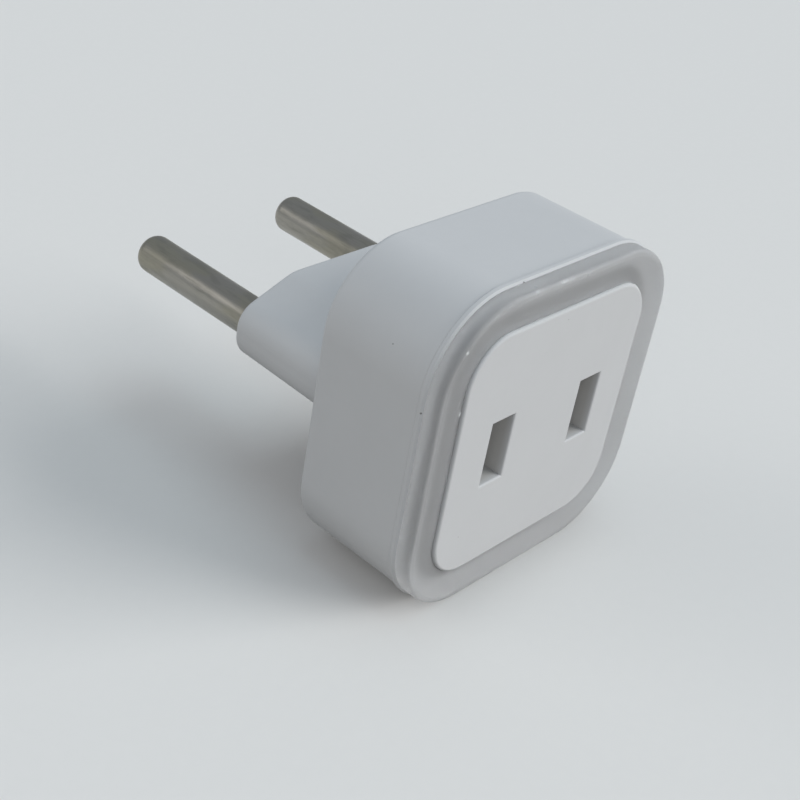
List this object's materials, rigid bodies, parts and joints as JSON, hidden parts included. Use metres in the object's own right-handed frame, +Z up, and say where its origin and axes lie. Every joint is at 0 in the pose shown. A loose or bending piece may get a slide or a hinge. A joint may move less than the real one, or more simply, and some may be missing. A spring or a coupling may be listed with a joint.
{
  "type": "plug adapter",
  "caption": "White plug adapter: rounded square body with flat blade slots in a front plate, a milky rim, a tapered neck and parallel round pins.",
  "frame": {"origin": "middle of the front face, between the two blade slots", "axes": "+Z up, -Y out of the front face towards the mating plug, +Y along the pins to their tips, +X to the right seen from the front"},
  "size_m": [0.0324, 0.0448, 0.0324],
  "materials": {
    "white_plastic": "satin moulded plastic",
    "milky_plastic": "milky translucent plastic",
    "plated_pin": "dull nickel plate, turned",
    "contact_brass": "stamped strip"
  },
  "bodies": {
    "root": {"rear_housing": "white_plastic", "face_plate": "white_plastic", "rim_ring": "milky_plastic", "left_pin": "plated_pin", "right_pin": "plated_pin", "left_contact": "contact_brass", "right_contact": "contact_brass"}
  },
  "joints": []
}
